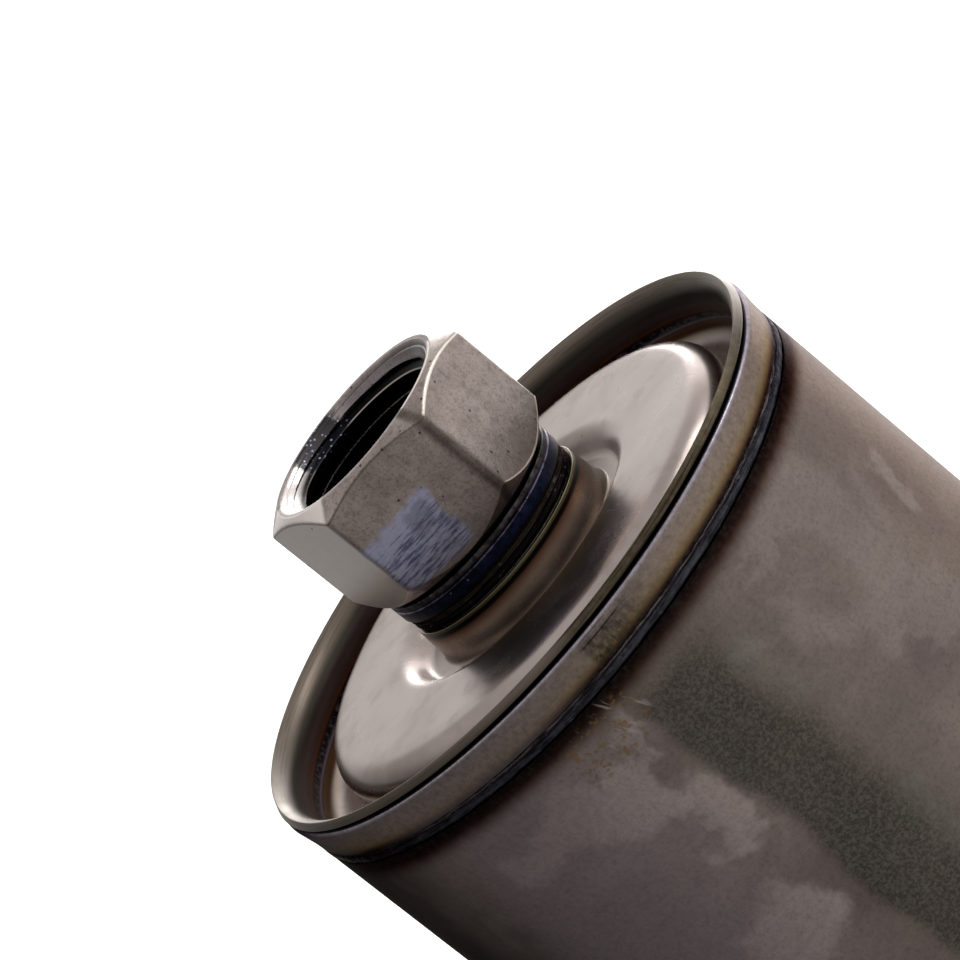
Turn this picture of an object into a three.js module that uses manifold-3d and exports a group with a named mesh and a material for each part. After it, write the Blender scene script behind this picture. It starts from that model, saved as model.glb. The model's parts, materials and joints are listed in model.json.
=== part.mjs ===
// Inline canister fuel filter: a welded steel can with a female hex port at each end and a sprung paper element.
// Millimetres, +Z up. The filter stands on its outlet port, with the origin at the middle of that end face.

import * as THREE from "three";
import { mergeVertices } from "three/addons/utils/BufferGeometryUtils.js";
import Module from "manifold-3d";

const wasm = await Module();
wasm.setup();

// Driving dimensions
const OVERALL_LENGTH = 139;
const PORT_HEIGHT = 15.3; // from the plane of a collar's mouth out to the port's end face
const OUTLET_PLANE = PORT_HEIGHT;
const INLET_PLANE = OVERALL_LENGTH - PORT_HEIGHT; // also the top of the rim
const CAN_RADIUS = 27.95;
const RIM_RADIUS = 28.2; // the can's mouth is flared, and the cap's lip lies over it
const CAN_WALL = 0.7;
const CAP_WALL = 0.75;
const FIT_GAP = 0.05; // between parts that are pressed or welded together
const HEX_ACROSS_FLATS = 19.5;
const PORT_BORE_RADIUS = 7.25;
const PORT_SEAT_RADIUS = 8.8;
const PORT_SEAT_DEPTH = 1.4;
const PASSAGE_RADIUS = 5;
const NECK_RADIUS = 9.45;
const SPIGOT_RADIUS = 8.65;
const SPIGOT_DEPTH = 4.05;
const PLATE = 0.7; // end discs, baffle and centre tube
const ELEMENT_BOTTOM = 24.75;
const ELEMENT_TOP = 107.15;
const ELEMENT_RADIUS = 24.95;
const POTTING_DEPTH = 3;
const PLEATS = 36;
const PLEAT_OUTER_RADIUS = 23.5;
const PLEAT_INNER_RADIUS = 11.3;
const TUBE_RADIUS = 10.6;
const SPRING_RADIUS = 9;
const SPRING_WIRE = 1.3;
const SPRING_TURNS = 4;
const BAFFLE_FLOOR = 116.15;

const HOUSING_SIDES = 32;
const INNER_SIDES = 24;

// ---------- profiles: lists of [radius, height] ----------

// Corners are [radius, height, fillet]; each fillet becomes an arc.
function rounded(corners, stepDegrees = 30) {
  const line = [];
  corners.forEach(([r, z, fillet = 0], i) => {
    if (!fillet) {
      line.push([r, z]);
      return;
    }
    const corner = new THREE.Vector2(r, z);
    const before = new THREE.Vector2(...corners[i - 1]).sub(corner).normalize();
    const after = new THREE.Vector2(...corners[i + 1]).sub(corner).normalize();
    const opening = Math.acos(THREE.MathUtils.clamp(before.dot(after), -1, 1));
    const toCentre = before.clone().add(after).normalize();
    const centre = corner.clone().addScaledVector(toCentre, fillet / Math.sin(opening / 2));
    const start = corner.clone().addScaledVector(before, fillet / Math.tan(opening / 2)).sub(centre);
    const turn = (Math.PI - opening) * Math.sign(after.cross(before));
    const steps = Math.max(2, Math.ceil(Math.abs(turn) / THREE.MathUtils.degToRad(stepDegrees)));
    for (let k = 0; k <= steps; k++) {
      const point = start.clone().rotateAround(new THREE.Vector2(), (turn * k) / steps).add(centre);
      line.push([point.x, point.y]);
    }
  });
  return line;
}

// The line moved sideways by a distance, to its left when that is positive.
function offset(line, distance) {
  return line.map(([r, z], i) => {
    const [r0, z0] = line[Math.max(i - 1, 0)];
    const [r1, z1] = line[Math.min(i + 1, line.length - 1)];
    const along = new THREE.Vector2(r1 - r0, z1 - z0).normalize();
    return [r - along.y * distance, z + along.x * distance];
  });
}

// A sheet of constant thickness along a line.
function sheet(line, thickness) {
  return [...offset(line, thickness / 2), ...offset(line, -thickness / 2).reverse()];
}

function mirrored(line, plane) {
  return line.map(([r, z, ...rest]) => [r, plane - z, ...rest]);
}

function raised(line, height) {
  return line.map(([r, z, ...rest]) => [r, z + height, ...rest]);
}

function ring(inner, outer, bottom, top) {
  return [[inner, bottom], [outer, bottom], [outer, top], [inner, top]];
}

// ---------- solids ----------

// Turns an outline about +Z. An outline that touches the axis starts and ends on it.
function revolve(outline, sides) {
  const points = outline.map(([r, z]) => new THREE.Vector2(r, z));
  if (THREE.ShapeUtils.area(points) < 0) points.reverse();
  if (points[0].x > 0) points.push(points[0].clone());
  return new THREE.LatheGeometry(points, sides).rotateX(Math.PI / 2);
}

function toSolid(geometry) {
  const bare = geometry.clone();
  bare.deleteAttribute("normal");
  bare.deleteAttribute("uv");
  const merged = mergeVertices(bare, 1e-4);
  const index = merged.index.array;
  const triVerts = [];
  for (let i = 0; i < index.length; i += 3) {
    const [a, b, c] = index.slice(i, i + 3);
    if (a !== b && b !== c && c !== a) triVerts.push(a, b, c);
  }
  return new wasm.Manifold(
    new wasm.Mesh({
      numProp: 3,
      vertProperties: merged.attributes.position.array,
      triVerts: new Uint32Array(triVerts),
    }),
  );
}

function toGeometry(solid) {
  const mesh = solid.getMesh();
  const geometry = new THREE.BufferGeometry();
  geometry.setAttribute("position", new THREE.BufferAttribute(new Float32Array(mesh.vertProperties), 3));
  geometry.setIndex(new THREE.BufferAttribute(new Uint32Array(mesh.triVerts), 1));
  geometry.computeVertexNormals();
  return geometry;
}

function cut(geometry, cutters) {
  return toGeometry(cutters.reduce((solid, cutter) => solid.subtract(toSolid(cutter)), toSolid(geometry)));
}

// A prism of an [x, y] polygon, with an optional hole.
function prism(polygon, bottom, top, hole) {
  const shape = new THREE.Shape(polygon.map(([x, y]) => new THREE.Vector2(x, y)));
  if (hole) shape.holes.push(new THREE.Path(hole.map(([x, y]) => new THREE.Vector2(x, y))));
  const geometry = new THREE.ExtrudeGeometry(shape, { depth: top - bottom, bevelEnabled: false });
  return geometry.translate(0, 0, bottom);
}

// Points of a polygon whose radius takes each value of the list in turn.
function polygonOf(count, radii, firstAngle = 0) {
  return Array.from({ length: count }, (_, i) => {
    const angle = firstAngle + (i * 2 * Math.PI) / count;
    const radius = radii[i % radii.length];
    return [radius * Math.cos(angle), radius * Math.sin(angle)];
  });
}

// ---------- scene graph ----------

const filter = new THREE.Group();
const element = new THREE.Group();
filter.add(element);

const materials = {
  canSteel: { color: 0x5b524c, roughness: 0.5, metalness: 0.9 },
  capSteel: { color: 0x9a9089, roughness: 0.38, metalness: 0.95 },
  weld: { color: 0x2b2a30, roughness: 0.45, metalness: 0.9 },
  portSteel: { color: 0x7d746c, roughness: 0.4, metalness: 0.95 },
  platedSteel: { color: 0xb5b2aa, roughness: 0.35, metalness: 0.95 },
  springSteel: { color: 0x6d6a66, roughness: 0.3, metalness: 1 },
  paper: { color: 0xd8b45c, roughness: 0.95, metalness: 0 },
  potting: { color: 0xc8763a, roughness: 0.6, metalness: 0 },
  rubber: { color: 0x1c1c1e, roughness: 0.8, metalness: 0 },
  thread: { color: 0xe9e4d4, roughness: 0.9, metalness: 0 },
};

function add(group, name, geometry, material) {
  const mesh = new THREE.Mesh(geometry, new THREE.MeshStandardMaterial(materials[material]));
  mesh.name = name;
  group.add(mesh);
  return mesh;
}

// ---------- housing ----------

// Height 0 is the rim's top: a flared lip, a narrow channel, the dome, a step down and the collar.
const capCentreline = rounded([
  [RIM_RADIUS - 0.28, -0.3],
  [26.83, -0.96, 2.2],
  [26.83, -6.67, 2.1],
  [22.525, -6.67, 2.1],
  [22.525, -1.875, 1.3],
  [12.9, -1.875, 0.9],
  [11.7, -3.675, 0.6],
  [9.4, -3.675, 0.7],
  [9.125, 0.3],
]);

// The can's drawn bottom has the same step and collar as the cap, and a wide shoulder.
const BOTTOM_SHOULDER = 5.35;
const MOUTH_DEPTH = 1.1;
const SEAM_TOP = INLET_PLANE - 4.1;
const SEAM_BOTTOM = INLET_PLANE - 5.2;
const SEAM_DEPTH = 0.25;

function canOutline() {
  const wallRadius = CAN_RADIUS - CAN_WALL / 2;
  const mouth = INLET_PLANE - MOUTH_DEPTH;
  const innerRadius = CAN_RADIUS - CAN_WALL;
  const bottom = mirrored(
    [
      [9.125, 0.3],
      [9.4, -3.65, 0.7],
      [11.7, -3.65, 0.6],
      [12.9, -1.85, 0.9],
      [wallRadius, -1.85, BOTTOM_SHOULDER],
    ],
    OUTLET_PLANE,
  );
  const centreline = rounded([...bottom, [wallRadius, mouth - 2]]);
  const seam = [
    [CAN_RADIUS, SEAM_BOTTOM],
    [CAN_RADIUS - SEAM_DEPTH, SEAM_BOTTOM],
    [CAN_RADIUS - SEAM_DEPTH, SEAM_TOP],
    [CAN_RADIUS, SEAM_TOP],
  ];
  const lip = [
    [RIM_RADIUS, mouth - 0.4],
    [RIM_RADIUS - 0.12, mouth - 0.08],
    [RIM_RADIUS - 0.3, mouth],
    [RIM_RADIUS - 0.5, mouth - 0.25],
    [innerRadius, mouth - 1.3],
  ];
  const outer = offset(centreline, -CAN_WALL / 2).slice(0, -1);
  const inner = offset(centreline, CAN_WALL / 2).slice(0, -1).reverse();
  return [...outer, ...seam, ...lip, ...inner];
}

const weldBead = [
  [CAN_RADIUS - SEAM_DEPTH + FIT_GAP, SEAM_BOTTOM + FIT_GAP],
  [CAN_RADIUS - 0.06, SEAM_BOTTOM + FIT_GAP],
  [CAN_RADIUS, (SEAM_BOTTOM + SEAM_TOP) / 2],
  [CAN_RADIUS - 0.06, SEAM_TOP - FIT_GAP],
  [CAN_RADIUS - SEAM_DEPTH + FIT_GAP, SEAM_TOP - FIT_GAP],
];

add(filter, "can_shell", revolve(canOutline(), HOUSING_SIDES), "canSteel");
add(
  filter,
  "inlet_end_cap",
  revolve(sheet(raised(capCentreline, INLET_PLANE), CAP_WALL), HOUSING_SIDES),
  "capSteel",
);
add(filter, "rim_seam_weld", revolve(weldBead, HOUSING_SIDES), "weld");

// ---------- ports ----------

const HEX_BASE = 4;
const HEX_TOP_CHAMFER_RADIUS = 9.25;
const HEX_BASE_CHAMFER_RADIUS = 9.65;
const TOP_CHAMFER_SLOPE = Math.tan(THREE.MathUtils.degToRad(31.5));
const BASE_CHAMFER_SLOPE = Math.tan(THREE.MathUtils.degToRad(47));
const BEYOND_CORNERS = HEX_ACROSS_FLATS / Math.sqrt(3) + 0.4;

// Height 0 is the plane of the collar's mouth, and the port points up.
function portGeometry() {
  const baseChamfer = (BEYOND_CORNERS - HEX_BASE_CHAMFER_RADIUS) * BASE_CHAMFER_SLOPE;
  const topChamfer = (BEYOND_CORNERS - HEX_TOP_CHAMFER_RADIUS) * TOP_CHAMFER_SLOPE;
  const outline = [
    [PASSAGE_RADIUS, -SPIGOT_DEPTH],
    [SPIGOT_RADIUS, -SPIGOT_DEPTH],
    [SPIGOT_RADIUS, 1.65],
    [NECK_RADIUS, 1.75],
    [NECK_RADIUS, 2.85],
    [NECK_RADIUS - 0.15, 2.95],
    [NECK_RADIUS, 3.05],
    [NECK_RADIUS, 3.5],
    [NECK_RADIUS - 0.55, 3.6],
    [NECK_RADIUS - 0.55, HEX_BASE],
    [HEX_BASE_CHAMFER_RADIUS, HEX_BASE],
    [BEYOND_CORNERS, HEX_BASE + baseChamfer],
    [BEYOND_CORNERS, PORT_HEIGHT - topChamfer],
    [HEX_TOP_CHAMFER_RADIUS, PORT_HEIGHT],
    [PORT_SEAT_RADIUS, PORT_HEIGHT],
    [PORT_BORE_RADIUS, PORT_HEIGHT - PORT_SEAT_DEPTH],
    [PORT_BORE_RADIUS, 0.9],
    [PASSAGE_RADIUS, 0.9],
  ];
  // Flats face +X, -X and every 60 degrees between.
  const hexagon = polygonOf(6, [HEX_ACROSS_FLATS / Math.sqrt(3)], Math.PI / 6);
  const blank = toSolid(revolve(outline, HOUSING_SIDES));
  return toGeometry(blank.intersect(toSolid(prism(hexagon, -SPIGOT_DEPTH - 1, PORT_HEIGHT + 1))));
}

const weldRing = [
  [SPIGOT_RADIUS + FIT_GAP, 0.4],
  [9.2, 0.4],
  [9.32, 0.65],
  [9.1, 0.95],
  [9.32, 1.25],
  [9.2, 1.55],
  [SPIGOT_RADIUS + FIT_GAP, 1.55],
];

for (const [end, plane, tilt] of [["inlet", INLET_PLANE, 0], ["outlet", OUTLET_PLANE, Math.PI]]) {
  const port = new THREE.Group();
  port.position.z = plane;
  port.rotation.x = tilt;
  filter.add(port);
  add(port, `${end}_port_fitting`, portGeometry(), "portSteel");
  add(port, `${end}_weld_ring`, revolve(weldRing, HOUSING_SIDES), "weld");
}

// ---------- outlet seat, baffle and spring ----------

const SEAT_BASE = OUTLET_PLANE + SPIGOT_DEPTH + FIT_GAP;
const SEAT_TUBE_RADIUS = 6.2;
const seatTube = [
  [PASSAGE_RADIUS + 0.2, SEAT_BASE],
  [12.3, SEAT_BASE],
  [12.3, SEAT_BASE + 0.8],
  [SEAT_TUBE_RADIUS, SEAT_BASE + 0.8],
  [SEAT_TUBE_RADIUS, SEAT_BASE + 11],
  [SEAT_TUBE_RADIUS - 0.4, SEAT_BASE + 11.6],
  [PASSAGE_RADIUS + 0.2, SEAT_BASE + 11.6],
];
add(filter, "outlet_seat_tube", revolve(seatTube, INNER_SIDES), "platedSteel");

// A dished plate under the cap: its floor carries the spring, and the flow leaves through its sloping wall.
function baffleGeometry() {
  const floor = BAFFLE_FLOOR + PLATE / 2;
  const line = rounded([
    [0, floor - 0.9],
    [7.2, floor - 0.9],
    [7.9, floor],
    [11.4, floor],
    [15.2, floor + 4.5],
    [19.5, floor + 4.5],
  ]);
  const holes = Array.from({ length: 6 }, (_, i) =>
    new THREE.CylinderGeometry(1.6, 1.6, 8, 8)
      .rotateZ(THREE.MathUtils.degToRad(130))
      .rotateX(Math.PI / 2)
      .translate(13.3, 0, floor + 2.25)
      .rotateZ((i * Math.PI) / 3),
  );
  return cut(revolve(sheet(line, PLATE), INNER_SIDES), holes);
}
add(filter, "spring_baffle", baffleGeometry(), "platedSteel");

// The end turns lie flat and the turns between them are open.
class SpringCurve extends THREE.Curve {
  constructor(bottom, top) {
    super();
    this.bottom = bottom;
    this.height = top - bottom;
  }

  getPoint(t, target = new THREE.Vector3()) {
    const angle = 2 * Math.PI * SPRING_TURNS * t;
    const rise = THREE.MathUtils.smoothstep(t, 0.1, 0.9);
    return target.set(
      SPRING_RADIUS * Math.cos(angle),
      SPRING_RADIUS * Math.sin(angle),
      this.bottom + this.height * (0.12 * t + 0.88 * rise),
    );
  }
}

function springGeometry() {
  const reach = SPRING_WIRE / 2 + FIT_GAP;
  const curve = new SpringCurve(ELEMENT_TOP + reach, BAFFLE_FLOOR - reach);
  const section = polygonOf(6, [SPRING_WIRE / 2]).map(([x, y]) => new THREE.Vector2(x, y));
  return new THREE.ExtrudeGeometry(new THREE.Shape(section), { steps: 64, extrudePath: curve });
}
add(filter, "coil_spring", springGeometry(), "springSteel");

// ---------- filter element ----------

const mediaBottom = ELEMENT_BOTTOM + PLATE + POTTING_DEPTH + 2 * FIT_GAP;
const mediaTop = ELEMENT_TOP - PLATE - POTTING_DEPTH - 2 * FIT_GAP;
const discRim = ELEMENT_RADIUS - PLATE / 2;
const RIM_HEIGHT = 5;
const GROMMET_GROOVE_RADIUS = 8.2;
const GROMMET_RADIUS = 9.5;

const outletDisc = rounded([
  [GROMMET_GROOVE_RADIUS + FIT_GAP, ELEMENT_BOTTOM + PLATE / 2],
  [discRim, ELEMENT_BOTTOM + PLATE / 2, 0.8],
  [discRim, ELEMENT_BOTTOM + RIM_HEIGHT],
]);
add(element, "outlet_end_disc", revolve(sheet(outletDisc, PLATE), INNER_SIDES), "platedSteel");

const inletDisc = rounded([
  [0, ELEMENT_TOP - PLATE / 2 + 1],
  [6.2, ELEMENT_TOP - PLATE / 2 + 1],
  [7.2, ELEMENT_TOP - PLATE / 2],
  [discRim, ELEMENT_TOP - PLATE / 2, 0.8],
  [discRim, ELEMENT_TOP - RIM_HEIGHT],
]);
add(element, "inlet_end_disc", revolve(sheet(inletDisc, PLATE), INNER_SIDES), "platedSteel");

const grommet = [
  [SEAT_TUBE_RADIUS + FIT_GAP, ELEMENT_BOTTOM - 2],
  [GROMMET_RADIUS - 0.6, ELEMENT_BOTTOM - 2],
  [GROMMET_RADIUS, ELEMENT_BOTTOM - 1.4],
  [GROMMET_RADIUS, ELEMENT_BOTTOM - FIT_GAP],
  [GROMMET_GROOVE_RADIUS, ELEMENT_BOTTOM - FIT_GAP],
  [GROMMET_GROOVE_RADIUS, ELEMENT_BOTTOM + PLATE + FIT_GAP],
  [GROMMET_RADIUS, ELEMENT_BOTTOM + PLATE + FIT_GAP],
  [GROMMET_RADIUS - 0.7, ELEMENT_BOTTOM + PLATE + 2],
  [SEAT_TUBE_RADIUS + FIT_GAP, ELEMENT_BOTTOM + PLATE + 2],
];
add(element, "outlet_grommet", revolve(grommet, INNER_SIDES), "rubber");

const pottingRadius = discRim - PLATE / 2 - 0.15;
const pottingLevels = [
  ["outlet_potting", ELEMENT_BOTTOM + PLATE + FIT_GAP],
  ["inlet_potting", mediaTop + FIT_GAP],
];
for (const [name, bottom] of pottingLevels) {
  const profile = rounded([
    [GROMMET_RADIUS + 0.3, bottom],
    [pottingRadius, bottom, 0.6],
    [pottingRadius, bottom + POTTING_DEPTH, 0.6],
    [GROMMET_RADIUS + 0.3, bottom + POTTING_DEPTH],
  ]);
  add(element, name, revolve(profile, INNER_SIDES), "potting");
}

// The paper zigzags between two radii; the sideways thickness of a leaf comes from its radial shift.
const LEAF_SHIFT = 3.2;
function mediaGeometry() {
  const outside = polygonOf(2 * PLEATS, [PLEAT_OUTER_RADIUS, PLEAT_INNER_RADIUS + LEAF_SHIFT]);
  const inside = polygonOf(2 * PLEATS, [PLEAT_OUTER_RADIUS - LEAF_SHIFT, PLEAT_INNER_RADIUS]);
  return prism(outside, mediaBottom, mediaTop, inside);
}
add(element, "pleated_media", mediaGeometry(), "paper");

// The clip that closes the pleated sheet into a ring lies in one valley between two pleats.
const seamClip = new THREE.BoxGeometry(6, 0.8, mediaTop - mediaBottom - 0.4);
const clipMesh = add(element, "media_seam_clip", seamClip, "platedSteel");
const valleyAngle = Math.PI / PLEATS;
clipMesh.position.set(20 * Math.cos(valleyAngle), 20 * Math.sin(valleyAngle), (mediaBottom + mediaTop) / 2);
clipMesh.rotation.z = valleyAngle;

function centreTubeGeometry() {
  const rows = 5;
  const slotHeight = 9;
  const pitch = (mediaTop - mediaBottom) / rows;
  const slots = [];
  for (let row = 0; row < rows; row++) {
    for (let turn = 0; turn < 3; turn++) {
      const slot = new THREE.BoxGeometry(30, 4, slotHeight);
      slot.rotateZ(((turn + (row % 2) / 2) * Math.PI) / 3);
      slots.push(slot.translate(0, 0, mediaBottom + pitch * (row + 0.5)));
    }
  }
  const wall = ring(TUBE_RADIUS - PLATE, TUBE_RADIUS, mediaBottom, mediaTop);
  return cut(revolve(wall, INNER_SIDES), slots);
}
add(element, "centre_tube", centreTubeGeometry(), "platedSteel");

const BANDS = 3;
for (let i = 1; i <= BANDS; i++) {
  const height = mediaBottom + ((mediaTop - mediaBottom) * i) / (BANDS + 1);
  const band = ring(PLEAT_OUTER_RADIUS + 0.25, PLEAT_OUTER_RADIUS + 0.7, height - 0.5, height + 0.5);
  add(element, `pleat_thread_band_${i}`, revolve(band, INNER_SIDES), "thread");
}

export default filter;
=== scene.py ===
# Looks of the fuel filter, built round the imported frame. Lengths are millimetres unless a comment
# says otherwise, and meshes are made in metres.
import json
import math

import bmesh
import bpy
from mathutils import Matrix, Vector, noise


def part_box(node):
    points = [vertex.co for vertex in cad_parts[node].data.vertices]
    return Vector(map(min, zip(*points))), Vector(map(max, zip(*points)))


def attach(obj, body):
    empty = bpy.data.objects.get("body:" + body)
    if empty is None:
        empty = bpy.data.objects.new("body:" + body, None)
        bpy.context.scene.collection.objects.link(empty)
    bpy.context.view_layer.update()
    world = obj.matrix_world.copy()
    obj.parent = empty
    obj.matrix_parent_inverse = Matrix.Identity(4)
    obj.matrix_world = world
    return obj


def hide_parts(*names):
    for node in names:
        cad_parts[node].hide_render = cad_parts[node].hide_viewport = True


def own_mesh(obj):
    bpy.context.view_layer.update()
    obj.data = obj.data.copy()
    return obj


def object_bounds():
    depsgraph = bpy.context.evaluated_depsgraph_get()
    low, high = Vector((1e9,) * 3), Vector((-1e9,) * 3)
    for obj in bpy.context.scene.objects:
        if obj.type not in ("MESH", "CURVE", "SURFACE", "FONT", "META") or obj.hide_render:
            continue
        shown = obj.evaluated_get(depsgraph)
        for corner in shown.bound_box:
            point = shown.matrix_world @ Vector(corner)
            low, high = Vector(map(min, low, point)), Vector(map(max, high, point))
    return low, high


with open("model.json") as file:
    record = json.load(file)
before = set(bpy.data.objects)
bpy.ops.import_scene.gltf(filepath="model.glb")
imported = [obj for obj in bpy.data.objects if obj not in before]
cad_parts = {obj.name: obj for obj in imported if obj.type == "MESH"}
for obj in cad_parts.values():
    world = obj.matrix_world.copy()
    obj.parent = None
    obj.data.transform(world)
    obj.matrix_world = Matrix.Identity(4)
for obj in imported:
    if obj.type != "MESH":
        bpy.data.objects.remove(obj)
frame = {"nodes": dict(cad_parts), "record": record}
cad_box = [list(corner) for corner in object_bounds()]

MM = 0.001
TURN = 2 * math.pi

# ---------- places and sizes ----------

OVERALL = cad_box[1][2] / MM
PORT_HEIGHT = 15.3
INLET_PLANE = OVERALL - PORT_HEIGHT  # the rim's top, and the mouth of the collar round the port
OUTLET_PLANE = PORT_HEIGHT
CAN_RADIUS = 27.95
RIM_RADIUS = 28.2  # the can's mouth is flared, and the cap's lip lies over it
CAN_WALL = 0.7
MOUTH_DEPTH = 1.15  # from the rim's top down to the can's mouth
BOTTOM_SHOULDER = 5.35
CAP_WALL = 0.75
PASSAGE_RADIUS = 5
SPIGOT_RADIUS = 8.65
SPIGOT_DEPTH = 4.05
NECK_RADIUS = 9.45
HEX_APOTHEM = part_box("inlet_port_fitting")[1][0] / MM
HEX_EDGE_FILLET = 0.6
HEX_BASE = 4
TOP_CHAMFER_RADIUS = 9.25
TOP_CHAMFER_SLOPE = math.tan(math.radians(31.5))
BASE_CHAMFER_RADIUS = 9.65
BASE_CHAMFER_SLOPE = math.tan(math.radians(47))
SEAT_RADIUS = 8.8
SEAT_DEPTH = 1.4
THREAD_CREST = 7.25
THREAD_ROOT = 8.0
THREAD_PITCH = 1.5
THREAD_END = 3.4
SEAM_TOP = INLET_PLANE - 4.2
SEAM_BOTTOM = INLET_PLANE - 5.35
SEAM_DEPTH = 0.25
SIDES = 360
WELD_SIDES = 720
JOIN_DISTANCE = 0.002  # points of a mesh closer than this become one
SHARP_ANGLE = math.radians(35)  # edges that bend more than this are shaded sharp

# The view: the camera stands round the rim's middle, and its picture is rolled.
VIEW_SIDE = 249.5  # degrees round +Z from +X
VIEW_BEARING = math.radians(VIEW_SIDE)
VIEW_ELEVATION = math.radians(16.26)
VIEW_ROLL = math.radians(50.8)
VIEW_DISTANCE = 344.2
VIEW_RIGHT = 1.26  # the rim's middle lies this far right of the view's centre line, and this far below it
VIEW_BELOW = 4.97
VIEW_LENS = 160.3


# ---------- profiles: lists of (radius, height) ----------

def rounded(corners, steps=5):
    """Each corner is (radius, height) or (radius, height, fillet); a fillet becomes an arc."""
    line = []
    count = len(corners)
    for i, corner in enumerate(corners):
        point = Vector(corner[:2])
        fillet = corner[2] if len(corner) > 2 else 0
        if not fillet:
            line.append(tuple(point))
            continue
        before = (Vector(corners[i - 1][:2]) - point).normalized()
        after = (Vector(corners[(i + 1) % count][:2]) - point).normalized()
        opening = math.acos(max(-1, min(1, before.dot(after))))
        middle = point + (before + after).normalized() * (fillet / math.sin(opening / 2))
        start = point + before * (fillet / math.tan(opening / 2)) - middle
        swing = (math.pi - opening) * (1 if after.x * before.y - after.y * before.x > 0 else -1)
        for k in range(steps + 1):
            angle = swing * k / steps
            spoke = Vector((
                start.x * math.cos(angle) - start.y * math.sin(angle),
                start.x * math.sin(angle) + start.y * math.cos(angle),
            ))
            line.append(tuple(middle + spoke))
    return line


def finer(line, longest):
    """The same line with no step longer than the given length."""
    result = [line[0]]
    for a, b in zip(line, line[1:]):
        parts = max(1, math.ceil(math.dist(a, b) / longest))
        for k in range(1, parts + 1):
            result.append((a[0] + (b[0] - a[0]) * k / parts, a[1] + (b[1] - a[1]) * k / parts))
    return result


def offset(line, distance):
    """The line moved sideways, to its left when the distance is positive."""
    result = []
    for i, point in enumerate(line):
        a, b = Vector(line[max(i - 1, 0)]), Vector(line[min(i + 1, len(line) - 1)])
        along = (b - a).normalized()
        result.append((point[0] - along.y * distance, point[1] + along.x * distance))
    return result


def sheet(line, thickness, edge):
    """The outline of a sheet along a line, with its four corners rounded."""
    left = offset(line, thickness / 2)
    right = offset(line, -thickness / 2)[::-1]
    sides = []
    for side in (left, right):
        sides += [(*side[0], edge), *side[1:-1], (*side[-1], edge)]
    return rounded(sides)


def raised(line, height):
    return [(r, z + height, *rest) for r, z, *rest in line]


def mirrored(line, plane):
    return [(r, plane - z, *rest) for r, z, *rest in line]


# ---------- meshes ----------

def make_piece(name, points, faces, body, nodes, slot):
    """Points are in millimetres. The piece rides on a body and stands for the named CAD nodes."""
    mesh = bpy.data.meshes.new(name)
    faces = [tuple(dict.fromkeys(face)) for face in faces]
    faces = [face for face in faces if len(face) > 2]
    mesh.from_pydata([tuple(c * MM for c in p) for p in points], [], faces)
    tidy = bmesh.new()
    tidy.from_mesh(mesh)
    bmesh.ops.remove_doubles(tidy, verts=tidy.verts, dist=JOIN_DISTANCE * MM)
    tidy.to_mesh(mesh)
    tidy.free()
    mesh.shade_smooth()
    mesh.set_sharp_from_angle(angle=SHARP_ANGLE)
    mesh.materials.append(finishes[slot])
    piece = bpy.data.objects.new(name, mesh)
    bpy.context.scene.collection.objects.link(piece)
    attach(piece, body)
    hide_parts(*nodes)
    return piece


def closed_grid(columns, joined_row=lambda row: row):
    """Points and faces of a ring-shaped surface, from closed columns of points.

    A row of the last column joins joined_row of it in the first, so that a helix can close on itself.
    """
    height = len(columns[0])
    points = [point for column in columns for point in column]
    faces = []
    for i in range(len(columns)):
        last = i == len(columns) - 1
        for k in range(height):
            m = (k + 1) % height
            over, under = (joined_row(k), joined_row(m)) if last else (k, m)
            ahead = 0 if last else (i + 1) * height
            faces.append((i * height + k, ahead + over, ahead + under, i * height + m))
    return points, faces


def turned(outline, shape, sides=SIDES):
    """Turns a closed outline about +Z. shape(angle, r, z) gives each point its final radius and height."""
    area = sum(a[0] * b[1] - b[0] * a[1] for a, b in zip(outline, outline[1:] + outline[:1]))
    if area < 0:
        outline = outline[::-1]
    columns = []
    for i in range(sides):
        angle = TURN * i / sides
        column = [shape(angle, r, z) for r, z in outline]
        columns.append([(r * math.cos(angle), r * math.sin(angle), z) for r, z in column])
    return closed_grid(columns)


def waver(angle, height, lobes, rows, seed):
    """Smooth noise from -1 to 1 that closes on itself round the axis."""
    return noise.noise(Vector((math.cos(angle) * lobes, math.sin(angle) * lobes, height * rows + seed)))


# ---------- material recipes ----------

def linear(colour):
    """A colour given as a hex string, in linear light."""
    channels = [int(colour[i:i + 2], 16) / 255 for i in (0, 2, 4)]
    return [c / 12.92 if c <= 0.04045 else ((c + 0.055) / 1.055) ** 2.4 for c in channels] + [1]


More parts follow.
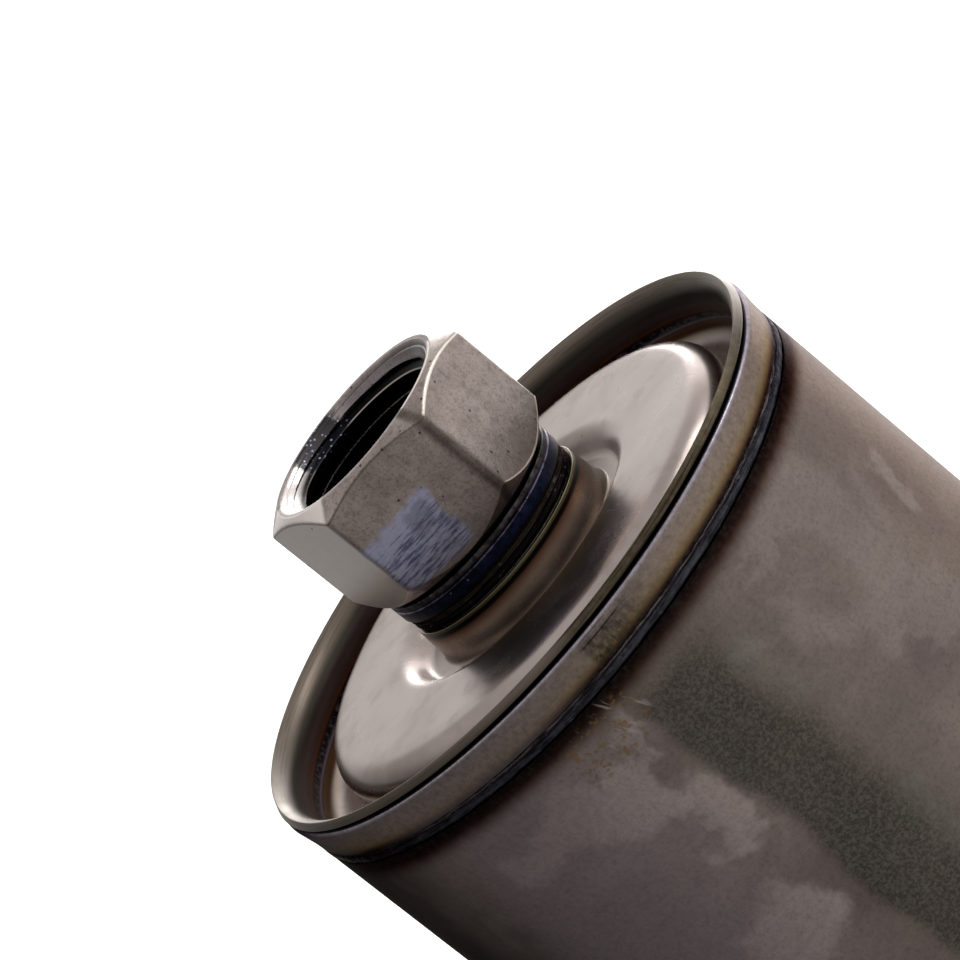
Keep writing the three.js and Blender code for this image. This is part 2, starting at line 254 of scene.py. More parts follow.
class Recipe:
    """A node material, made with short calls that return sockets."""

    def __init__(self, name, metallic, **constants):
        self.material = bpy.data.materials.new(name)
        self.material.use_nodes = True
        self.nodes = self.material.node_tree.nodes
        self.links = self.material.node_tree.links
        self.shader = self.nodes["Principled BSDF"]
        self.shader.inputs["Metallic"].default_value = metallic
        for socket, value in constants.items():
            self.shader.inputs[socket].default_value = value
        here = self.nodes.new("ShaderNodeTexCoord").outputs["Object"]
        self.place = self.vector("SCALE", here, scale=1 / MM)
        parts = self.node("ShaderNodeSeparateXYZ", {"Vector": self.place})
        self.x, self.y, self.z = (parts.outputs[i] for i in range(3))
        self.radius = self.maths("SQRT", self.maths("ADD", self.maths("MULTIPLY", self.x, self.x),
                                                    self.maths("MULTIPLY", self.y, self.y)))

    def node(self, kind, inputs, **settings):
        node = self.nodes.new(kind)
        for key, value in settings.items():
            setattr(node, key, value)
        for key, value in inputs.items():
            self.join(value, node.inputs[key])
        return node

    def join(self, value, socket):
        if isinstance(value, bpy.types.NodeSocket):
            self.links.new(value, socket)
        else:
            socket.default_value = value

    def maths(self, operation, a, b=0.0):
        return self.node("ShaderNodeMath", {0: a, 1: b}, operation=operation).outputs[0]

    def vector(self, operation, a, b=(0, 0, 0), scale=1.0):
        node = self.nodes.new("ShaderNodeVectorMath")
        node.operation = operation
        self.join(a, node.inputs[0])
        if operation == "SCALE":
            self.join(scale, node.inputs["Scale"])
        else:
            self.join(b, node.inputs[1])
        return node.outputs[0]

    def combine(self, x, y, z):
        return self.node("ShaderNodeCombineXYZ", {"X": x, "Y": y, "Z": z}).outputs[0]

    def noise(self, scale, detail=3.0, roughness=0.5, distortion=0.0, at=None):
        """Scale is in features a millimetre."""
        inputs = {
            "Vector": at if at is not None else self.place,
            "Scale": scale,
            "Detail": detail,
            "Roughness": roughness,
            "Distortion": distortion,
        }
        return self.node("ShaderNodeTexNoise", inputs).outputs["Fac"]

    def specks(self, scale):
        """Distance from scattered points, in cells."""
        inputs = {"Vector": self.place, "Scale": scale}
        return self.node("ShaderNodeTexVoronoi", inputs).outputs["Distance"]

    def ramp(self, factor, low, high, start=0.0, end=1.0, smooth=False):
        """Maps low..high to start..end, and holds the ends."""
        inputs = {0: factor, 1: low, 2: high, 3: start, 4: end}
        node = self.node("ShaderNodeMapRange", inputs)
        if smooth:
            node.interpolation_type = "SMOOTHSTEP"
        return node.outputs[0]

    def band(self, value, low, high, soft):
        """1 between low and high, falling to 0 over a soft edge."""
        rise = self.ramp(value, low - soft, low + soft, smooth=True)
        fall = self.ramp(value, high - soft, high + soft, 1.0, 0.0, smooth=True)
        return self.maths("MULTIPLY", rise, fall)

    def colours(self, value, stops):
        """Colours along a value: stops are (value, hex colour), in order."""
        low, high = stops[0][0], stops[-1][0]
        node = self.nodes.new("ShaderNodeValToRGB")
        elements = node.color_ramp.elements
        while len(elements) < len(stops):
            elements.new(0.5)
        for element, (place, colour) in zip(elements, stops):
            element.position = (place - low) / (high - low)
            element.color = linear(colour)
        self.join(self.ramp(value, low, high), node.inputs[0])
        return node.outputs[0]

    def mix(self, factor, a, b):
        """From a to b, each a socket or a hex colour."""
        a, b = (linear(c) if isinstance(c, str) else c for c in (a, b))
        return self.node("ShaderNodeMix", {"Factor": factor, 6: a, 7: b}, data_type="RGBA").outputs[2]

    def bump(self, height, depth, under=None):
        """Depth is in millimetres."""
        inputs = {"Height": height, "Distance": depth * MM, "Strength": 1.0}
        if under is not None:
            inputs["Normal"] = under
        return self.node("ShaderNodeBump", inputs).outputs[0]

    def finish(self, colour, roughness, normal=None):
        self.join(colour, self.shader.inputs["Base Color"])
        self.join(roughness, self.shader.inputs["Roughness"])
        if normal is not None:
            self.join(normal, self.shader.inputs["Normal"])
        return self.material

    def bearing_from(self, degrees):
        """Degrees round the axis from a bearing, from -180 to 180."""
        turn = math.radians(degrees)
        along = self.maths("ADD", self.maths("MULTIPLY", self.x, math.cos(turn)),
                           self.maths("MULTIPLY", self.y, math.sin(turn)))
        across = self.maths("SUBTRACT", self.maths("MULTIPLY", self.y, math.cos(turn)),
                            self.maths("MULTIPLY", self.x, math.sin(turn)))
        return self.maths("MULTIPLY", self.maths("ARCTAN2", across, along), 180 / math.pi)

    def patch(self, u, v, left, right, low, high, soft_u, soft_v):
        """1 inside a soft-edged rectangle of two values."""
        return self.maths("MULTIPLY", self.band(u, left, right, soft_u), self.band(v, low, high, soft_v))

    def spread(self, level, reach):
        """Noise from 0 to 1 turned into a shift of up to half the reach either way."""
        return self.maths("MULTIPLY", self.maths("SUBTRACT", level, 0.5), reach)

    def from_plane(self):
        """Height above the nearer end's collar mouth, positive towards that end's port."""
        middle = OVERALL / 2
        distance = self.maths("ABSOLUTE", self.maths("SUBTRACT", self.z, middle))
        return self.maths("SUBTRACT", distance, INLET_PLANE - middle)


def can_steel():
    m = Recipe("can_steel", 1.0, **{"Specular Tint": (0.45, 0.43, 0.43, 1)})
    height = m.maths("SUBTRACT", m.z, INLET_PLANE)
    side = m.bearing_from(VIEW_SIDE)
    cloud = m.noise(0.11, 4.0, 0.6)
    fine = m.noise(3.2, 3.0, 0.7)
    grain = m.noise(1.8, 3.0, 0.65)
    colour = m.mix(m.ramp(cloud, 0.3, 0.7), "6b605e", "82766f")
    blot = m.noise(0.055, 3.0, 0.55, 0.6, at=m.vector("ADD", m.place, (0, 0, 31)))
    colour = m.mix(m.ramp(blot, 0.54, 0.6, 0.0, 0.3, smooth=True), colour, "9a8e8b")
    # pale blotches with wandering edges, greenish runs, and one dark grainy stain down the can
    shifted = m.vector("ADD", m.place, (50, 0, 0))
    u = m.maths("ADD", side, m.spread(m.noise(0.16, 4.0, 0.6), 26.0))
    v = m.maths("ADD", height, m.spread(m.noise(0.16, 4.0, 0.6, at=shifted), 11.0))
    for left, right, low, high, soft_u, soft_v, share, shade in (
        (-44, -22, -13, -9.3, 3.0, 0.9, 0.65, "ab9c98"),
        (-24, -12, -16, -10.5, 2.0, 0.9, 0.85, "b3a49f"),
        (-16, -6, -23, -15, 2.0, 1.0, 0.75, "b3a49f"),
        (-26, -12, -33, -26, 2.2, 1.0, 0.7, "b3a49f"),
        (-30, -14, -46, -37, 2.5, 1.2, 0.4, "988b88"),
        (-15, -11.5, -11, -7.5, 0.8, 0.5, 0.45, "a89d98"),
        (20, 25, -11, -8, 1.0, 0.5, 0.3, "9a8e8c"),
        (54, 61, -20, -14, 1.5, 0.6, 0.45, "a79b97"),
        (9, 14, -18, -11, 1.5, 1.0, 0.35, "77796c"),
        (9, 14, -34, -27, 1.5, 1.0, 0.35, "77796c"),
    ):
        blotch = m.patch(u, v, left, right, low, high, soft_u, soft_v)
        colour = m.mix(m.maths("MULTIPLY", blotch, share), colour, shade)
    drift = m.maths("ADD", side, m.spread(m.noise(0.1, 3.0, 0.6), 10.0))
    edge = m.maths("MULTIPLY", m.ramp(drift, -6.8, -3.4, smooth=True),
                   m.ramp(drift, 6.0, 15.0, 1.0, 0.0, smooth=True))
    stain = m.maths("MULTIPLY", edge, m.ramp(height, -10.0, -6.0, 1.0, 0.0, smooth=True))
    mottle = m.mix(m.ramp(m.noise(3.4, 3.0, 0.75), 0.42, 0.6), "38352f", "5e5b53")
    colour = m.mix(m.maths("MULTIPLY", stain, 0.8), colour, mottle)
    # painted shade: one side of the can, mostly below the band, is painted nearly black where shade falls
    # on it
    side_shade = m.ramp(m.maths("ADD", side, m.spread(cloud, 14.0)), -80.0, -36.0, 1.0, 0.0, smooth=True)
    side_shade = m.maths("MULTIPLY", side_shade, m.ramp(side, -122.0, -94.0, smooth=True))
    below = m.maths("MAXIMUM", m.ramp(height, -3.6, -4.4), m.ramp(side, -60.0, -78.0))
    side_shade = m.maths("MULTIPLY", side_shade, below)
    # painted light: the side facing the bright part of the room is painted a paler, warmer tone
    lit_side = m.maths("MULTIPLY", m.ramp(side, 40.0, 78.0, smooth=True),
                   m.ramp(side, 90.0, 140.0, 1.0, 0.0, smooth=True))
    colour = m.mix(m.maths("MULTIPLY", lit_side, 0.35), colour, "a09186")
    rosy = m.band(side, -52.0, -14.0, 12.0)
    colour = m.mix(m.maths("MULTIPLY", rosy, 0.5), colour, "a39598")
    # heat tints: gold above the seam, black to red-brown below it; near the can's mouth, a painted
    # highlight and painted shade
    ragged = m.maths("ADD", height, m.spread(m.noise(0.7, 3.0, 0.6), 0.5))
    haze = m.ramp(ragged, -8.0, -6.1, smooth=True)
    scorch = m.colours(ragged, [
        (-8.0, "5d534d"), (-7.2, "4c3b32"), (-6.6, "38251c"), (-6.1, "231511"), (-5.5, "0c0808"),
        (-5.0, "0b0909"),
    ])
    colour = m.mix(haze, colour, scorch)
    # on the band, the pale lavender stops at -1.36 and -1.2 are a painted highlight along the mouth's edge,
    # and the dark last stop is painted shade in the gap under the lip
    band_tint_and_painted_light = m.colours(height, [
        (-4.3, "0f0b0a"), (-4.08, "120d0b"), (-3.95, "2e1f14"), (-3.8, "56422c"), (-3.5, "79654a"),
        (-3.15, "857663"), (-2.5, "86786e"), (-1.9, "85786f"), (-1.5, "867b78"), (-1.36, "a29aa4"),
        (-1.2, "a9a3b0"), (-1.14, "3a3535"),
    ])
    band_tint_and_painted_light = m.mix(m.maths("MULTIPLY", rosy, 0.3), band_tint_and_painted_light, "a3979b")
    band_tint_and_painted_light = m.mix(m.ramp(grain, 0.35, 0.7, 0.0, 0.25), band_tint_and_painted_light, "4b4038")
    colour = m.mix(m.ramp(height, -4.4, -4.3), colour, band_tint_and_painted_light)
    # where the band's ends overlap
    axial = m.noise(1.0, 3.0, 0.6, at=m.vector("MULTIPLY", m.place, (3.0, 3.0, 0.5)))
    lap = m.maths("MULTIPLY", m.ramp(side, -4.8, -3.4, smooth=True),
                  m.ramp(side, 0.0, 14.0, 1.0, 0.0, smooth=True))
    lap = m.maths("MULTIPLY", lap, m.band(height, -4.0, -1.7, 0.4))
    worn = m.maths("ADD", m.ramp(axial, 0.35, 0.6, 0.1, 0.45), m.ramp(grain, 0.35, 0.6, 0.1, 0.45))
    colour = m.mix(m.maths("MULTIPLY", lap, worn), colour, "2a241b")
    for low, thick, last in ((-1.5, 0.06, 2.0), (-2.08, 0.14, 4.5)):
        wavy = m.maths("ADD", height, m.spread(cloud, 0.25))
        line = m.maths("MULTIPLY", m.band(wavy, low, low + thick, 0.05), m.band(side, -4.0, last, 1.2))
        colour = m.mix(m.maths("MULTIPLY", line, 0.8), colour, "0e0b0a")
    # painted shade on the can's dark side
    colour = m.mix(m.maths("MULTIPLY", side_shade, 0.92), colour, "0c0a0a")
    # gold flecks and pale scratches by the stain, and brushed streaks round the can
    flecks = m.maths("MULTIPLY", m.patch(u, height, -21, -6, -10.5, -6.3, 2.0, 0.6),
                     m.ramp(grain, 0.53, 0.6))
    colour = m.mix(m.maths("MULTIPLY", flecks, 0.7), colour, "8b6b40")
    leaning = m.maths("ADD", side, m.maths("MULTIPLY", height, 0.8))
    slanted = m.combine(leaning, m.maths("MULTIPLY", height, 0.25), 3.0)
    marks = m.maths("MULTIPLY", m.patch(side, height, -13, -4, -9.5, -5.6, 1.0, 0.6),
                    m.ramp(m.noise(1.1, 2.0, 0.5, at=slanted), 0.6, 0.66))
    colour = m.mix(m.maths("MULTIPLY", marks, 0.5), colour, "b5aaa6")
    streak = m.noise(1.0, 3.0, 0.6, at=m.vector("MULTIPLY", m.place, (0.25, 0.25, 5.0)))
    colour = m.mix(m.ramp(streak, 0.3, 0.75, 0.0, 0.1), colour, "3b332f")
    colour = m.mix(m.ramp(grain, 0.45, 0.75, 0.0, 0.22), colour, "453c38")
    colour = m.mix(m.ramp(fine, 0.5, 0.7, 0.0, 0.2), colour, "3a332f")
    rough = m.maths("ADD", m.ramp(fine, 0.2, 0.8, 0.36, 0.52), m.maths("MULTIPLY", stain, 0.1))
    rough = m.maths("SUBTRACT", rough, m.ramp(height, -4.2, -4.0, 0.0, 0.12))
    rough = m.maths("ADD", rough, m.maths("MULTIPLY", side_shade, 0.2))
    normal = m.bump(fine, 0.012)
    return m.finish(colour, rough, m.bump(grain, 0.01, normal))


def cap_steel():
    m = Recipe("cap_steel", 1.0)
    height = m.maths("SUBTRACT", m.z, INLET_PLANE)
    side = m.bearing_from(VIEW_SIDE)
    cloud = m.noise(0.13, 4.0, 0.55)
    spots = m.noise(0.3, 3.0, 0.55)
    fine = m.noise(2.6, 3.0, 0.65)
    colour = m.mix(m.ramp(cloud, 0.3, 0.7), "978b86", "aea29d")
    colour = m.mix(m.ramp(spots, 0.5, 0.7, 0.0, 0.3, smooth=True), colour, "83786f")
    # the rim: heat tints down in the channel, where the outer wall's dark bands are partly soot and partly
    # painted shade, and a dull olive-brown lip
    rim = m.ramp(m.radius, 25.6, 26.2, smooth=True)
    tint_and_painted_light = m.colours(height, [
        (-6.4, "b5a79c"), (-5.5, "a39488"), (-5.2, "6f4f35"), (-4.8, "7b5a3a"), (-4.55, "5c4a48"),
        (-4.38, "96909e"), (-4.22, "4b4450"), (-4.05, "120d12"), (-3.8, "1a1214"), (-3.6, "3a2318"),
        (-3.42, "7d4d30"), (-3.2, "5e4c45"), (-2.6, "655857"), (-2.0, "4f4745"), (-1.5, "3f3c35"),
        (-1.0, "5d544c"), (-0.5, "695f56"), (0.1, "766c62"),
    ])
    beads = m.noise(1.6, 3.0, 0.6)
    root = m.band(height, -4.3, -3.7, 0.15)
    tint_and_painted_light = m.mix(m.maths("MULTIPLY", root, m.ramp(beads, 0.45, 0.6)), tint_and_painted_light, "6a6270")
    colour = m.mix(rim, colour, tint_and_painted_light)
    lip = m.ramp(height, -1.2, -0.7, smooth=True)
    olive = m.maths("MULTIPLY", lip, m.patch(side, fine, -5.0, 65.0, -1.0, 2.0, 6.0, 0.1))
    colour = m.mix(m.maths("MULTIPLY", olive, m.ramp(beads, 0.3, 0.6, 0.45, 0.8)), colour, "39321f")
    scores = m.noise(1.0, 2.0, 0.6, at=m.vector("MULTIPLY", m.place, (0.15, 0.15, 7.0)))
    scored = m.maths("MULTIPLY", lip, m.maths("MAXIMUM", m.band(side, -6.0, 62.0, 5.0), 0.4))
    scored = m.maths("MULTIPLY", scored, m.ramp(scores, 0.5, 0.6))
    colour = m.mix(m.maths("MULTIPLY", scored, 0.65), colour, "1d1812")
    collar = m.ramp(m.radius, 9.9, 12.0, 1.0, 0.0, smooth=True)
    ring = m.colours(height, [
        (-3.6, "574e46"), (-3.2, "877b71"), (-1.9, "9b8f84"), (-1.2, "948477"), (-0.8, "806655"),
        (-0.45, "5c4436"), (-0.3, "16100f"), (-0.02, "120e0d"), (0.08, "5d563f"), (0.3, "6f6751"),
    ])
    colour = m.mix(collar, colour, ring)
    inner = m.ramp(m.radius, 24.0, 24.6, 1.0, 0.0)
    pits = m.maths("MULTIPLY", m.ramp(m.specks(0.16), 0.025, 0.04, 1.0, 0.0), inner)
    colour = m.mix(m.maths("MULTIPLY", pits, 0.8), colour, "231d1b")
    rough = m.maths("ADD", m.ramp(cloud, 0.25, 0.75, 0.21, 0.29), m.ramp(spots, 0.5, 0.7, 0.0, 0.05))
    rough = m.maths("ADD", rough, m.maths("MULTIPLY", rim, 0.1))
    normal = m.bump(m.noise(0.22, 2.0, 0.5), 0.02)
    return m.finish(colour, rough, m.bump(fine, 0.004, normal))


def weld_steel():
    m = Recipe("weld_steel", 1.0, **{"Specular Tint": (0.45, 0.43, 0.43, 1)})
    height = m.from_plane()
    ripple = m.noise(0.9, 4.0, 0.7)
    ridges = m.noise(1.0, 3.0, 0.65, at=m.vector("MULTIPLY", m.place, (0.4, 0.4, 6.0)))
    rim = m.colours(m.maths("ADD", height, m.spread(ripple, 0.25)), [
        (-5.4, "0a0808"), (-5.2, "121012"), (-5.1, "323338"), (-4.95, "43454c"), (-4.7, "3a3b42"),
        (-4.56, "232227"), (-4.5, "1d1a1d"), (-4.44, "5f5456"), (-4.36, "5a4f51"), (-4.3, "171213"),
        (-4.2, "120e0e"),
    ])
    neck = m.colours(height, [
        (0.3, "161110"), (0.9, "100d0d"), (1.1, "1d1816"), (1.18, "6b6055"), (1.28, "1b1715"),
        (1.5, "2d2620"), (1.7, "6d6040"),
    ])
    colour = m.mix(m.ramp(height, -2.0, -1.0), rim, neck)
    colour = m.mix(m.ramp(ripple, 0.5, 0.68, 0.0, 0.55), colour, "141114")
    colour = m.mix(m.ramp(ridges, 0.46, 0.6, 0.0, 0.8), colour, "100e10")
    colour = m.mix(m.ramp(ripple, 0.42, 0.3, 0.0, 0.25), colour, "6f6c77")
    # painted shade on the rim's weld, on the same dark side as the can's
    side_shade = m.ramp(m.bearing_from(VIEW_SIDE), -72.0, -28.0, 0.9, 0.0, smooth=True)
    colour = m.mix(m.maths("MULTIPLY", side_shade, m.ramp(height, -1.0, -2.0)), colour, "0c0a0b")
    fine = m.noise(3.0, 3.0, 0.6)
    return m.finish(colour, m.ramp(fine, 0.2, 0.8, 0.3, 0.5), m.bump(fine, 0.03, m.bump(ridges, 0.06)))


# Bearings on a port, in degrees: the three flats in view, and the edge between the last two of them.
LEFT_FLAT = 180
MIDDLE_FLAT = 240
RIGHT_FLAT = 300
FRONT_EDGE = 270
SHADED_SIDE = 20  # of the mouth, as is the next
OILY_SIDE = 92


def port_steel():
    m = Recipe("port_steel", 1.0)
    height = m.from_plane()
    cloud = m.noise(0.3, 4.0, 0.65)
    mottle = m.noise(1.3, 4.0, 0.7)
    fine = m.noise(4.5, 3.0, 0.7)
    colour = m.mix(m.ramp(cloud, 0.3, 0.7), "8d817c", "a89c96")
    colour = m.mix(m.ramp(mottle, 0.5, 0.7, 0.0, 0.45), colour, "5d534e")
    colour = m.mix(m.ramp(fine, 0.5, 0.7, 0.0, 0.5), colour, "4a413d")
    # painted light: the left flat is painted much paler, as where light falls on it
    lit_flat = m.band(m.bearing_from(LEFT_FLAT), -29.0, 29.0, 1.5)
    colour = m.mix(m.maths("MULTIPLY", lit_flat, 0.8), colour, "f6ede8")
    pits = m.ramp(m.specks(0.55), 0.05, 0.08, 1.0, 0.0)
    colour = m.mix(m.maths("MULTIPLY", pits, 0.85), colour, "1f1a18")
    # painted shade, with some grime, along one edge and low on the flats
    on_edge = m.band(m.bearing_from(FRONT_EDGE), -3.4, 2.0, 1.8)
    low = m.ramp(height, 5.6, 4.2, 0.0, 0.3, smooth=True)
    shade_and_grime = m.maths("MAXIMUM", m.maths("MULTIPLY", on_edge, 0.8), low)
    colour = m.mix(m.maths("MULTIPLY", shade_and_grime, m.ramp(cloud, 0.25, 0.6, 0.5, 1.0)), colour, "332b27")
    # a scraped blue-lavender patch on one flat: streaky, paler along its top, with one darker spot
    across = m.bearing_from(MIDDLE_FLAT)
    wander = m.spread(m.noise(0.5, 3.0, 0.6), 2.2)
    level = m.maths("MULTIPLY", m.maths("SINE", m.maths("MULTIPLY", across, math.pi / 180)), m.radius)
    sideways, upward = m.maths("ADD", level, wander), m.maths("ADD", height, wander)
    patch = m.patch(sideways, upward, -5.7, 1.2, 4.8, 10.5, 0.3, 0.3)
    spot = m.patch(sideways, upward, -1.6, 0.5, 7.6, 9.9, 0.3, 0.3)
    patch = m.maths("MULTIPLY", patch, m.band(across, -40.0, 40.0, 2.0))
    along = m.combine(m.maths("MULTIPLY", level, 0.5), m.maths("MULTIPLY", height, 4.2), 0.0)
    scrape = m.maths("ADD", m.noise(1.0, 4.0, 0.65, at=along), m.ramp(upward, 8.6, 9.6, 0.0, 0.14))
    bluish = m.mix(m.ramp(scrape, 0.4, 0.56), "55577a", "aaabc6")
    bluish = m.mix(m.maths("MULTIPLY", spot, 0.45), bluish, "585a6e")
    bluish = m.mix(m.ramp(mottle, 0.5, 0.7, 0.0, 0.3), bluish, "6e6e80")
    colour = m.mix(m.maths("MULTIPLY", patch, 0.85), colour, bluish)
    # a painted highlight along the top and base edges of one flat, and a darker line round the top edge of
    # the others
    up = m.maths("MULTIPLY", m.maths("SUBTRACT", m.radius, TOP_CHAMFER_RADIUS), TOP_CHAMFER_SLOPE)
    below_top = m.maths("SUBTRACT", m.maths("SUBTRACT", PORT_HEIGHT, up), height)
    down = m.maths("MULTIPLY", m.maths("SUBTRACT", m.radius, BASE_CHAMFER_RADIUS), BASE_CHAMFER_SLOPE)
    above_base = m.maths("SUBTRACT", m.maths("SUBTRACT", height, HEX_BASE), down)
    bright_flat = m.band(m.bearing_from(RIGHT_FLAT), -28.0, 31.0, 1.0)
    top_line = m.band(m.maths("ADD", below_top, m.spread(mottle, 0.1)), 0.06, 0.2, 0.04)
    base_line = m.band(m.maths("ADD", above_base, m.spread(mottle, 0.1)), 0.04, 0.14, 0.04)
    colour = m.mix(m.maths("MULTIPLY", top_line, 0.5), colour, "4a413c")
    bright = m.maths("MULTIPLY", m.maths("MAXIMUM", top_line, base_line), bright_flat)
    colour = m.mix(m.maths("MULTIPLY", bright, 0.85), colour, "f3e9df")
    # bands of the neck: heat tints, a painted highlight on the lower flank of its notch, and black in the
    # groove under the hexagon
    tint_and_painted_light = m.colours(height, [
        (-0.2, "1a1513"), (1.55, "2a231d"), (1.63, "574f3d"), (1.72, "3a3426"), (1.8, "15161f"),
        (2.1, "1b2440"), (2.6, "222a47"), (2.72, "16151b"), (2.8, "6a6480"), (2.92, "6f6a84"),
        (2.98, "1d1b22"), (3.08, "3f3c41"), (3.3, "5f5a5a"), (3.5, "433f40"), (3.6, "0e0c0d"),
        (4.1, "0b0a0b"),
    ])
    tint_and_painted_light = m.mix(m.ramp(mottle, 0.42, 0.6, 0.0, 0.75), tint_and_painted_light, "0f0e12")
    tint_and_painted_light = m.mix(m.ramp(m.specks(1.1), 0.06, 0.1, 0.7, 0.0), tint_and_painted_light, "a9a6bb")
    colour = m.mix(m.ramp(height, 4.12, 4.02, smooth=True), colour, tint_and_painted_light)
    # the mouth: a bore painted with shade on one side and a painted highlight round the rest, threads
    # painted black deep in the bore as shade with paler painted highlights along their crests, and a film
    # of oil on one side with painted glints
    bore = m.ramp(m.radius, 8.75, 8.6)
    shaded = m.band(m.bearing_from(SHADED_SIDE), -60.0, 60.0, 25.0)
    colour = m.mix(m.maths("MULTIPLY", bore, m.ramp(shaded, 0.0, 1.0, 0.0, 0.55)), colour, "5d5862")
    colour = m.mix(m.maths("MULTIPLY", bore, m.ramp(shaded, 0.0, 1.0, 0.85, 0.0)), colour, "efe8e6")
    below = m.ramp(height, 13.98, 13.88)
    crest = m.maths("MULTIPLY", m.band(m.radius, THREAD_CREST + 0.04, THREAD_CREST + 0.14, 0.03), below)
    inside = m.maths("MULTIPLY", m.ramp(m.radius, 8.3, 8.15), m.ramp(height, 14.4, 14.1))
    colour = m.mix(inside, colour, "0c0b0c")
    colour = m.mix(m.maths("MULTIPLY", crest, m.ramp(height, 9.0, 13.5, 0.2, 0.9)), colour, "a79e96")
    mouth = m.maths("MULTIPLY", m.ramp(m.radius, 9.35, 9.2), m.ramp(height, 12.5, 13.5))
    ragged = m.maths("ADD", m.bearing_from(OILY_SIDE), m.spread(mottle, 20.0))
    oil = m.maths("MULTIPLY", mouth, m.band(ragged, -20.0, 19.0, 4.0))
    glints = m.ramp(m.specks(2.2), 0.14, 0.28, 1.0, 0.0)
    colour = m.mix(m.maths("MULTIPLY", oil, 0.9), colour, m.mix(glints, "12131a", "aab0d0"))
    rough = m.maths("ADD", m.ramp(fine, 0.2, 0.8, 0.24, 0.42), m.maths("MULTIPLY", shade_and_grime, 0.1))
    rough = m.maths("SUBTRACT", rough, m.maths("MULTIPLY", bore, 0.08))
    normal = m.bump(m.noise(0.8, 2.0, 0.5), 0.02)
    return m.finish(colour, rough, m.bump(fine, 0.014, normal))


def plated_steel():
    m = Recipe("plated_steel", 1.0)
    cloud = m.noise(0.2, 3.0, 0.6)
    fine = m.noise(2.5, 3.0, 0.6)
    colour = m.mix(m.ramp(cloud, 0.3, 0.7), "b4b1a8", "cfccc4")
    return m.finish(colour, m.ramp(fine, 0.2, 0.8, 0.25, 0.4), m.bump(fine, 0.008))


def spring_steel():
    m = Recipe("spring_steel", 1.0)
    cloud = m.noise(0.5, 3.0, 0.6)
    fine = m.noise(3.5, 3.0, 0.6)
    colour = m.mix(m.ramp(cloud, 0.3, 0.7), "5f5b57", "8a857f")
    return m.finish(colour, m.ramp(fine, 0.2, 0.8, 0.22, 0.36), m.bump(fine, 0.006))


def rubber_seal():
    m = Recipe("rubber_seal", 0.0)
    cloud = m.noise(0.4, 3.0, 0.6)
    fine = m.noise(5.0, 3.0, 0.7)
    colour = m.mix(m.ramp(cloud, 0.3, 0.7), "17171a", "29292c")
    return m.finish(colour, m.ramp(fine, 0.2, 0.8, 0.62, 0.82), m.bump(fine, 0.02))


def potting_resin():
    m = Recipe("potting_resin", 0.0)
    cloud = m.noise(0.25, 3.0, 0.6)
    bubbles = m.ramp(m.specks(0.9), 0.05, 0.2)
    colour = m.mix(m.ramp(cloud, 0.3, 0.7), "b5622a", "d08343")
    return m.finish(colour, m.ramp(cloud, 0.2, 0.8, 0.35, 0.55), m.bump(bubbles, 0.04))


def filter_paper():
    m = Recipe("filter_paper", 0.0)
    fibres = m.noise(1.0, 4.0, 0.7, 1.5, at=m.vector("MULTIPLY", m.place, (1.4, 1.4, 0.5)))
    cloud = m.noise(0.3, 3.0, 0.6)
    colour = m.mix(m.ramp(cloud, 0.3, 0.7), "cfa956", "e2c47c")
    colour = m.mix(m.ramp(fibres, 0.55, 0.75, 0.0, 0.35), colour, "f0dca6")
    ribs = m.maths("SINE", m.maths("MULTIPLY", m.z, TURN / 2.5))
    normal = m.bump(fibres, 0.04)
    return m.finish(colour, m.ramp(fibres, 0.2, 0.8, 0.8, 0.95), m.bump(ribs, 0.05, normal))


def band_thread():
    m = Recipe("band_thread", 0.0)
    twist = m.noise(1.0, 2.0, 0.5, at=m.vector("MULTIPLY", m.place, (1.5, 1.5, 6.0)))
    colour = m.mix(m.ramp(twist, 0.35, 0.65), "cfc7ae", "efe9d8")
    return m.finish(colour, m.ramp(twist, 0.2, 0.8, 0.7, 0.9), m.bump(twist, 0.08))


finishes = {recipe.__name__: recipe() for recipe in (
    can_steel, cap_steel, weld_steel, port_steel, plated_steel, spring_steel, rubber_seal, potting_resin,
    filter_paper, band_thread,
)}


# ---------- can ----------

def can_outline():
    wall = CAN_RADIUS - CAN_WALL / 2
    inner = CAN_RADIUS - CAN_WALL
    mouth = INLET_PLANE - MOUTH_DEPTH
    bottom = mirrored([
        (9.125, 0.3),
        (9.4, -3.65, 0.7),
        (11.7, -3.65, 0.6),
        (12.9, -1.85, 0.9),
        (wall, -1.85, BOTTOM_SHOULDER),
    ], OUTLET_PLANE)
    centreline = finer(rounded([*bottom, (wall, mouth - 2)], 12), 3)
    outer_side = offset(centreline, -CAN_WALL / 2)[:-1]
    inner_side = offset(centreline, CAN_WALL / 2)[:-1]
    groove = CAN_RADIUS - SEAM_DEPTH
    top = rounded([
        (CAN_RADIUS, SEAM_BOTTOM - 0.4),
        (CAN_RADIUS, SEAM_BOTTOM, 0.08),
        (groove, SEAM_BOTTOM, 0.05),
        (groove, SEAM_TOP, 0.05),
        (CAN_RADIUS, SEAM_TOP, 0.06),
        (CAN_RADIUS + 0.05, SEAM_TOP + 0.9),
        (RIM_RADIUS, mouth - 0.5, 0.3),
        (RIM_RADIUS, mouth, 0.3),
        (RIM_RADIUS - 0.5, mouth - 0.03, 0.12),
        (inner, mouth - 1.3),
    ])
    return outer_side + top + inner_side[::-1]


def can_shape(angle, r, z):
    """A drawn can isn't quite round: its wall wanders a little inwards."""
    if r < CAN_RADIUS - 0.1:
        return r, z
    return r - 0.02 - 0.02 * waver(angle, z, 1.6, 0.03, 3), z


make_piece("can_body", *turned(can_outline(), can_shape), "housing", ["can_shell"], "can_steel")


